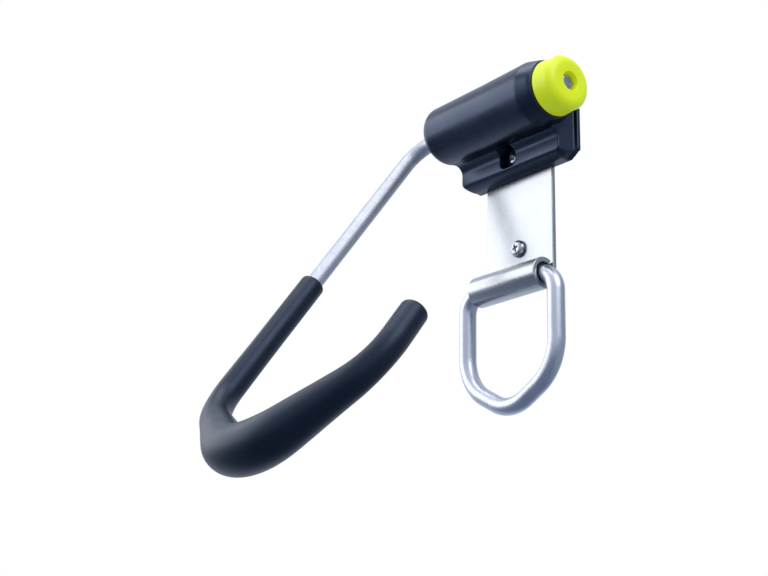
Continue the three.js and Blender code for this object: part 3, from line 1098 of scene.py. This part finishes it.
@dataclass
class BarrelHousing:
    """One black moulding: barrel, flange with a screw recess, and a thin back rim."""

    finishes: Finishes
    left_r: float = 16.3 * MM
    mid_r: float = 16.7 * MM
    right_r: float = 17.5 * MM
    face_r: float = 15.0 * MM
    edge_r: float = 5.0 * MM
    shoulder: float = 9.0 * MM
    ease: Pair = (0.8 * MM, 1.6 * MM)  # at the right end: in radius and in length
    right_x: float = 45.5 * MM
    left_x: float = -40.0 * MM
    mid_x: float = 2.4 * MM
    flare_x: float = 4.0 * MM
    front_y: float = -12.0 * MM
    front_half: float = 37.3 * MM
    back_half: float = 39.4 * MM
    rim_half: float = 41.3 * MM
    rim_thick: float = 2.0 * MM
    rim_draft: float = 0.3 * MM
    bottom_z: float = 38.3 * MM
    top_z: float = 65.0 * MM
    neck_top_z: float = 78.0 * MM
    neck_back: Pair = (9.0 * MM, 13.4 * MM)  # from the barrel's axis
    corner_x: float = 6.4 * MM
    corner_z: float = 4.0 * MM
    front_corner: float = 0.2  # size of the front's corner cuts, 1 at the wall
    fillet_r: float = 5.0 * MM
    recess_half: float = 5.8 * MM
    recess_r: float = 4.0 * MM
    recess_low_z: float = 42.4 * MM
    recess_arc_z: float = 49.2 * MM
    recess_y: float = -5.6 * MM
    roof_z: float = 52.3 * MM
    roof_y: Pair = (-30.0 * MM, -15.0 * MM)
    neck_low_z: float = 46.0 * MM
    # Underside of the flange from its front edge back: depth and height in millimetres.
    underside: tuple[Pair, ...] = (
        (-12.0, 42.3), (-11.7, 41.4), (-11.0, 40.6), (-10.0, 40.0), (-8.4, 39.3), (-6.0, 38.6),
        (0.0, 38.3),
    )
    bush_r: float = 7.3 * MM
    washer_r: float = 9.3 * MM
    shaft_r: float = 4.85 * MM
    beyond: float = 60.0 * MM  # a place past both ends of the barrel
    stop_play_deg: float = 1.5
    voxel: float = 0.45 * MM
    melt_steps: int = 6
    sharp_deg: float = 40.0
    axis: Vector = field(default_factory=barrel_axis)

    def barrel(self) -> Piece:
        """Return the solid barrel, flared towards the cap, with a sloping shoulder there."""
        end = self.edge_r
        rounded = arc((self.left_x + end, self.left_r - end), end, 180, 96, 14)
        profile = [
            (0.0, self.left_x),
            *((r, x) for x, r in rounded),
            (self.mid_r, self.flare_x),
            (self.right_r, self.right_x - self.shoulder),
            (self.face_r + self.ease[0], self.right_x - self.ease[1]),
            (self.face_r, self.right_x),
            (0.0, self.right_x),
        ]
        return turned("moulded_barrel_housing", profile, self.axis, Axis.X, 160)

    def outline(self, half: float, bottom: float, y: float, part: float = 1.0) -> list[Vector]:
        """Return the flange outline at one depth.

        Args:
            half: Half width.
            bottom: Height of the lower edge.
            y: Depth.
            part: Size of the corner cuts, 1 at the wall.

        Returns:
            Six corners in order.
        """
        cut_x, cut_z = self.corner_x * part, self.corner_z * part
        pairs = [
            (-half, self.top_z),
            (-half, bottom + cut_z),
            (-half + cut_x, bottom),
            (half - cut_x, bottom),
            (half, bottom + cut_z),
            (half, self.top_z),
        ]
        return [Vector((self.mid_x + x, y, z)) for x, z in pairs]

    def half_at(self, y: float) -> float:
        """Return the drafted half width at a depth."""
        share = min(1.0, y / self.front_y)
        return self.back_half + (self.front_half - self.back_half) * share

    def slab(self) -> Piece:
        """Return the flange; its front edge is rounded, its corner cuts grow to the wall."""
        loops = []
        for depth, height in self.underside:
            y = depth * MM
            part = 1.0 + (y / self.front_y) * (self.front_corner - 1.0)
            loops.append(self.outline(self.half_at(y), height * MM, y, part))
        return lofted("slab", loops)

    def rim(self) -> Piece:
        """Return the thin rim at the wall."""
        half, low, draft = self.rim_half, self.bottom_z, self.rim_draft
        front = self.outline(half - draft, low + draft, -self.rim_thick)
        return lofted("rim", [front, self.outline(half, low, 0.0)])

    def neck(self) -> Piece:
        """Return the neck that runs from the flange up into the barrel with a hollow fillet."""
        reach = self.mid_r + self.fillet_r
        fillet_y = self.front_y - self.fillet_r
        rise = math.sqrt(reach**2 - (self.axis.y - fillet_y) ** 2)
        touch = math.degrees(math.atan2(rise, self.axis.y - fillet_y))
        section = [
            (0.0, self.neck_low_z),
            (0.0, self.neck_top_z),
            (self.axis.y + self.neck_back[0], self.axis.z + self.neck_back[1]),
            (self.axis.y, self.axis.z),
            *reversed(arc((fillet_y, self.axis.z - rise), self.fillet_r, 0, touch, 24)),
            (self.front_y, self.neck_low_z),
        ]
        loops = [
            [Vector((self.mid_x + side * self.half_at(y), y, z)) for y, z in section]
            for side in (-1, 1)
        ]
        return lofted("neck", loops)

    def recess(self) -> Piece:
        """Return the U-shaped tool that clears the upper screw's head and spares the barrel."""
        x = screw_axis("upper_wall_screw").x
        half, r, low = self.recess_half, self.recess_r, self.recess_low_z
        section = [
            *arc((r - half, low + r), r, 180, 270, 8),
            *arc((half - r, low + r), r, 270, 360, 8),
            *arc((0.0, self.recess_arc_z), half, 0, 180, 24),
        ]
        loops = [[Vector((x + u, y, z)) for u, z in section] for y in (self.axis.y, self.recess_y)]
        tool = lofted("recess", loops)
        front, back = self.roof_y
        roof = [(front, self.roof_z), (back, self.roof_z), (back, self.top_z), (front, self.top_z)]
        cut(tool, pulled("roof", roof, x - 2 * half, x + 2 * half, Vector()))
        return tool

    def build(self) -> None:
        """Build and dress the housing."""
        body = self.barrel()
        for piece in (self.slab(), self.neck(), self.rim()):
            cut(body, piece, "UNION")
        cut(body, self.recess())
        melt = body.modifiers.new("melt", "REMESH")
        melt.mode = "VOXEL"
        melt.voxel_size = self.voxel
        soften = body.modifiers.new("soften", "SMOOTH")
        soften.factor = 0.5
        soften.iterations = self.melt_steps
        settle(body)
        hole = drill("upper_wall_screw", -9 * MM, 9 * MM)
        for tool in (self.channel(), hole, self.bore(), self.stop_pocket()):
            cut(body, tool)
        crisp(body, self.sharp_deg)
        dress(body, "barrel_housing", Body.WALL, self.finishes.housing.build())

    def channel(self) -> Piece:
        """Return the tool for the channel that the plate lies in."""
        low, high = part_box("wall_plate")
        left, right, top = low.x - FIT, high.x + FIT, high.z + FIT
        corners = [(left, 0.0), (right, 0.0), (right, top), (left, top)]
        depths = (-PLATE_THICK - FIT, 5 * MM)
        return lofted("channel", [[Vector((x, y, z)) for x, z in corners] for y in depths])

    def bore(self) -> Piece:
        """Return the tool for the shaft's bore, the bush seats and the washer's seat."""
        left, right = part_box("left_pivot_bush")[1].x + FIT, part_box("right_pivot_bush")[0].x - FIT
        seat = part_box("right_pivot_bush")[1].x - FLANGE_THICK - FIT
        profile = [
            (0.0, -self.beyond),
            (self.bush_r, -self.beyond),
            (self.bush_r, left),
            (self.shaft_r, left),
            (self.shaft_r, right),
            (self.bush_r, right),
            (self.bush_r, seat),
            (self.washer_r, seat),
            (self.washer_r, self.beyond),
            (0.0, self.beyond),
        ]
        return turned("bore", profile, self.axis, Axis.X)

    def stop_pocket(self) -> Piece:
        """Return the tool for the arc that the stop washer's lug sweeps through."""
        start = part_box("stop_washer")[0].x - FIT
        half = LUG_HALF_DEG + self.stop_play_deg
        sweep = arc((0.0, 0.0), LUG_R + FIT, ARM_DEG - SWING_DEG - half, ARM_DEG + half, 60)
        return pulled("pocket", [(0.0, 0.0), *sweep], start, self.beyond, self.axis)


# ---------------------------------------------------------------- turned small parts


@dataclass
class PivotParts:
    """Bushes, stop washer, end cap, bolt and washer, all on the barrel's axis."""

    finishes: Finishes
    bush_bore_r: float = 4.55 * MM
    bush_r: float = 7.0 * MM
    flange_r: float = 9.0 * MM
    bush_ease: float = 0.3 * MM
    bolt_hole_r: float = 2.8 * MM
    lug_root_r: float = 8.0 * MM
    base_r: float = 14.0 * MM
    # The cap's side: out from its base radius, and up from its base, in millimetres.
    cap_side: tuple[Pair, ...] = (
        (-0.6, 0.0), (-0.15, 0.12), (0.3, 0.45), (0.5, 0.9), (0.48, 1.5), (0.42, 2.6), (0.3, 4.0),
        (0.12, 5.6), (-0.1, 6.9),
    )
    cap_face_r: float = 9.0 * MM
    dome_r: float = 5.6 * MM
    mouth_r: float = 0.35 * MM
    recess_r: float = 4.9 * MM
    recess_deep: float = 6.8 * MM
    hex_r: float = 4.2 * MM
    bolt_r: float = 2.5 * MM
    axis: Vector = field(default_factory=barrel_axis)

    def build(self) -> None:
        """Build and dress every piece."""
        nylon = self.finishes.bush.build()
        steel = self.finishes.fastener.build()
        for node, flange_first in (("left_pivot_bush", True), ("right_pivot_bush", False)):
            dress(self.bush(node, flange_first), node, Body.WALL, nylon)
        dress(self.stop_washer(), "stop_washer", Body.HOOK, steel)
        dress(self.end_cap(), "end_cap", Body.HOOK, self.finishes.cap.build())
        dress(self.cap_washer(), "cap_bolt_washer", Body.HOOK, steel)
        dress(self.bolt(), "retaining_bolt", Body.HOOK, steel)

    def bush(self, node: str, flange_first: bool) -> Piece:
        """Build a flanged bush with chamfered edges.

        Args:
            node: The CAD node it stands for.
            flange_first: Whether the flange is on the low-X side.

        Returns:
            The bush.
        """
        low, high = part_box(node)
        bore, body, flange, c = self.bush_bore_r, self.bush_r, self.flange_r, self.bush_ease
        thick, length = FLANGE_THICK, high.x - low.x
        profile = [
            (bore + c, 0.0), (flange - c, 0.0), (flange, c), (flange, thick - c),
            (flange - c, thick), (body, thick), (body, length - c), (body - c, length),
            (bore + c, length), (bore, length - c), (bore, c),
        ]
        placed = [(r, low.x + x if flange_first else high.x - x) for r, x in profile]
        return turned(node + "_nylon", placed, self.axis, Axis.X)

    def stop_washer(self) -> Piece:
        """Return the steel washer whose lug meets the stop in the barrel."""
        low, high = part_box("stop_washer")
        profile = chamfered(self.bolt_hole_r, self.flange_r, low.x, high.x, 0.2 * MM)
        disc = turned("stop_washer_steel", profile, self.axis, Axis.X)
        first, last = ARM_DEG - LUG_HALF_DEG, ARM_DEG + LUG_HALF_DEG
        section = [
            *arc((0.0, 0.0), self.lug_root_r, first, last, 12),
            *arc((0.0, 0.0), LUG_R, last, first, 16),
        ]
        cut(disc, pulled("lug", section, low.x, high.x, self.axis), "UNION")
        crisp(disc)
        return disc

    def end_cap(self) -> Piece:
        """Return the domed bumper with a lip at its base and a recess for the bolt."""
        low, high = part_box("end_cap")
        side = [(self.base_r + out * MM, low.x + up * MM) for out, up in self.cap_side]
        dome = arc((high.x - self.dome_r, self.cap_face_r), self.dome_r, 68, 0, 24)
        ease, recess, floor = self.mouth_r, self.recess_r, high.x - self.recess_deep
        mouth = [
            (recess + ease - ease * math.sin(a), high.x - ease * (1 - math.cos(a)))
            for a in (0.0, 0.4, 0.8, 1.2, math.pi / 2)
        ]
        inside = [(recess, floor), (self.bolt_hole_r, floor), (self.bolt_hole_r, low.x)]
        profile = [*side, *((r, x) for x, r in dome), *mouth, *inside]
        return turned("bumper_cap", profile, self.axis, Axis.X, 160)

    def cap_washer(self) -> Piece:
        """Return the flat washer under the bolt's head."""
        low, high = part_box("cap_bolt_washer")
        profile = chamfered(self.bolt_hole_r, 4.5 * MM, low.x, high.x, 0.12 * MM)
        return turned("cap_washer_steel", profile, self.axis, Axis.X)

    def bolt(self) -> Piece:
        """Return the hex-headed bolt, its corners turned off and its top dished."""
        low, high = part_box("retaining_bolt")
        bearing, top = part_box("cap_bolt_washer")[1].x + FIT, high.x
        hexagon = arc((0.0, 0.0), self.hex_r, 0, 300, 5)
        head = pulled("cap_bolt_steel", hexagon, bearing, top, self.axis)
        chamfer = [
            (0.0, bearing - 1 * MM),
            (6 * MM, bearing - 1 * MM),
            (6 * MM, top - 1.4 * MM),
            (3.3 * MM, top),
            (0.0, top + 0.001 * MM),
        ]
        cut(head, turned("chamfer", chamfer, self.axis, Axis.X), "INTERSECT")
        dish = [
            (0.0, top - 0.45 * MM),
            (1.9 * MM, top - 0.4 * MM),
            (2.3 * MM, top + 1 * MM),
            (0.0, top + 1 * MM),
        ]
        cut(head, turned("dish", dish, self.axis, Axis.X, 64))
        reach = (low.x, bearing + 0.6 * MM)
        shank = threaded("shank", self.axis, Axis.X, reach, self.bolt_r, 0.3 * MM, 0.8 * MM)
        cut(head, shank, "UNION")
        crisp(head, 28.0)
        return head


@dataclass
class WallScrews:
    """The two pan-head screws that hold the rack to the wall."""

    finishes: Finishes
    head_thick: float = 2.8 * MM
    crown_flat_r: float = 1.2 * MM
    crown_width_power: float = 0.85
    crown_height_power: float = 1.1
    skirt: float = 0.35 * MM
    shank_r: float = 2.5 * MM
    thread_depth: float = 0.55 * MM
    thread_pitch: float = 1.9 * MM
    point: float = 5.0 * MM
    cross_long: float = 2.3 * MM
    cross_thin: float = 0.5 * MM
    cross_deep: float = 1.5 * MM

    def build(self) -> None:
        """Build and dress both screws."""
        steel = self.finishes.fastener.build()
        for node, turn_deg in (("lower_wall_screw", 18.0), ("upper_wall_screw", 40.0)):
            dress(self.screw(node, turn_deg), node, Body.WALL, steel)

    def screw(self, node: str, turn_deg: float) -> Piece:
        """Build one screw where its CAD node is.

        Args:
            node: The CAD node.
            turn_deg: How far its cross recess is turned.

        Returns:
            The screw.
        """
        low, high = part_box(node)
        centre = screw_axis(node)
        head_r, flat_r = (high.x - low.x) / 2, self.crown_flat_r
        top, bearing = low.y, low.y + self.head_thick
        crown = [
            (
                flat_r + (head_r - flat_r) * math.sin(a) ** self.crown_width_power,
                top + (self.head_thick - self.skirt) * (1 - math.cos(a)) ** self.crown_height_power,
            )
            for a in quarter(18)
        ]
        profile = [
            (0.0, top), *crown, (head_r, bearing - 0.12 * MM), (head_r - 0.15 * MM, bearing),
            (self.shank_r, bearing), (self.shank_r, bearing + 1 * MM), (0.0, bearing + 1 * MM),
        ]
        screw = turned(node + "_steel", profile, centre, Axis.Y)
        shank = threaded(
            "shank", centre, Axis.Y, (high.y, bearing + 0.5 * MM), self.shank_r,
            self.thread_depth, self.thread_pitch, self.point,
        )
        cut(screw, shank, "UNION")
        for quarter_deg in (0, 90):
            cut(screw, self.wing(centre, top, math.radians(turn_deg + quarter_deg)))
        crisp(screw, 30.0)
        return screw

    def wing(self, centre: Vector, top: float, angle: float) -> Piece:
        """Return one tapered wing of the cross recess.

        Args:
            centre: A point on the screw's axis.
            top: Where the head's top is.
            angle: Direction of the wing.

        Returns:
            The cutting tool.
        """
        along = Vector((math.cos(angle), 0.0, math.sin(angle)))
        across = Vector((-math.sin(angle), 0.0, math.cos(angle)))
        loops = []
        for y, long, thin in (
            (top - 1 * MM, self.cross_long * 1.25, self.cross_thin * 1.25),
            (top + self.cross_deep * 0.55, self.cross_long * 0.72, self.cross_thin),
            (top + self.cross_deep, self.cross_long * 0.35, self.cross_thin * 0.6),
        ):
            base = centre + Vector((0.0, y, 0.0))
            signs = ((1, 1), (-1, 1), (-1, -1), (1, -1))
            loops.append([base + along * (long * u) + across * (thin * v) for u, v in signs])
        return lofted("wing", loops)


# ---------------------------------------------------------------- studio


@dataclass(frozen=True)
class Studio:
    """Pale floor, soft light and the camera.

    Colours of the room are linear. A lamp is a name, a place, a size and a power in watts.
    """

    azimuth_deg: float = 53.1
    elevation_deg: float = -16.05
    roll_deg: float = 1.0
    distance: float = 0.752
    target: Triple = (-0.0476, -0.0538, -0.0201)
    lens_mm: float = 67.97
    sensor_mm: float = 36.0
    floor_drop: float = 0.16
    floor_half: float = 6.0
    low_room: Colour = (0.17, 0.215, 0.31, 1.0)
    high_room: Colour = (0.66, 0.71, 0.80, 1.0)
    shaded_wall: Colour = (0.32, 0.37, 0.45, 1.0)
    bright_wall: Colour = (0.70, 0.78, 0.92, 1.0)
    backdrop: Colour = (1.0, 1.0, 1.0, 1.0)
    lamps: tuple[tuple[str, Triple, Pair, float], ...] = (
        ("left_softbox", (-0.95, -0.75, 0.47), (1.5, 1.0), 7.3),
        ("top_softbox", (-0.1, -0.25, 1.15), (1.0, 0.7), 5.0),
        ("right_softbox", (1.0, -0.15, 0.85), (0.9, 0.9), 7.5),
    )

    def build(self) -> None:
        """Build the floor, the light and the camera."""
        # Plain colours: a finish shows as its own sRGB hex in full light.
        bpy.context.scene.view_settings.view_transform = "Standard"
        self.floor()
        self.world()
        for lamp in self.lamps:
            self.lamp(*lamp)
        self.camera()

    def floor(self) -> None:
        """Lay a wide pale floor below the object."""
        low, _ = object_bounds()
        z, half = low.z - self.floor_drop, self.floor_half
        maker = bmesh.new()
        corners = ((-half, -half, z), (half, -half, z), (half, half, z), (-half, half, z))
        maker.faces.new([maker.verts.new(p) for p in corners])
        floor = mesh_object("studio_floor", maker)
        floor.visible_glossy = False
        floor.visible_diffuse = False
        material, _, shader = new_material("pale_matt_floor")
        shader.inputs["Base Color"].default_value = srgb("#e6e6e4")
        shader.inputs["Roughness"].default_value = 0.9
        floor.data.materials.append(material)
        floor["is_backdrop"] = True

    def world(self) -> None:
        """Light the room: white to the camera, and to the light a room that is dim below."""
        world = bpy.data.worlds.new("pale_room")
        bpy.context.scene.world = world
        world.use_nodes = True
        tree = world.node_tree
        tree.nodes.clear()
        ray = add_node(tree, "ShaderNodeTexCoord").outputs["Generated"]
        height = add_node(tree, "ShaderNodeSeparateXYZ", inputs={0: ray}).outputs["Z"]
        room = blend(tree, ramp(tree, height, -0.3, 0.1), self.low_room, self.high_room)
        # The wall side at the right stays in shade, so side faces keep their depth.
        right = ramp(tree, towards(tree, ray, (0.8, 0.6, 0.0)), 0.3, 0.85)
        room = blend(tree, right, room, self.shaded_wall)
        left = ramp(tree, towards(tree, ray, (-0.8, 0.6, 0.0)), 0.35, 0.9)
        room = blend(tree, left, room, self.bright_wall)
        camera_ray = add_node(tree, "ShaderNodeLightPath").outputs["Is Camera Ray"]
        room = blend(tree, camera_ray, room, self.backdrop)
        background = add_node(tree, "ShaderNodeBackground", inputs={"Color": room})
        add_node(tree, "ShaderNodeOutputWorld", inputs={"Surface": background.outputs[0]})

    def lamp(self, name: str, place: Triple, size: Pair, watts: float) -> None:
        """Add a softbox that points at the object.

        Args:
            name: The lamp's name.
            place: Where it stands.
            size: Width and height of its face.
            watts: Its power.
        """
        data = bpy.data.lights.new(name, "AREA")
        data.shape = "RECTANGLE"
        data.size, data.size_y = size
        data.energy = watts
        lamp = bpy.data.objects.new(name, data)
        lamp.location = place
        aim = Vector(self.target) - Vector(place)
        lamp.rotation_mode = "QUATERNION"
        lamp.rotation_quaternion = aim.to_track_quat("-Z", "Y")
        bpy.context.scene.collection.objects.link(lamp)

    def camera(self) -> None:
        """Stand the camera in front, to the right and below, looking up."""
        a, e, r = map(math.radians, (self.azimuth_deg, self.elevation_deg, self.roll_deg))
        back = Vector((math.sin(a) * math.cos(e), -math.cos(a) * math.cos(e), math.sin(e)))
        level = (-back).cross(Vector((0, 0, 1))).normalized()
        upright = back.cross(level)
        right = level * math.cos(r) + upright * math.sin(r)
        up = upright * math.cos(r) - level * math.sin(r)
        data = bpy.data.cameras.new("studio_camera")
        data.sensor_width = self.sensor_mm
        data.lens = self.lens_mm
        camera = bpy.data.objects.new("studio_camera", data)
        turn = Matrix((right, up, back)).transposed().to_4x4()
        place = Vector(self.target) + back * self.distance
        camera.matrix_world = Matrix.Translation(place) @ turn
        bpy.context.scene.collection.objects.link(camera)
        bpy.context.scene.camera = camera


def main() -> None:
    """Build the rack in order, then the studio."""
    logging.basicConfig(level=logging.INFO, format="%(message)s")
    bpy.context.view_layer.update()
    finishes = Finishes()
    builders: Sequence[Callable[[], None]] = (
        WallPlate(finishes).build,
        LockRing(finishes).build,
        BarrelHousing(finishes).build,
        PivotParts(finishes).build,
        WallScrews(finishes).build,
        WheelHook(finishes).build,
    )
    for build in builders:
        build()
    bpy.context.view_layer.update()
    Studio().build()


if __name__ == "__main__":
    main()
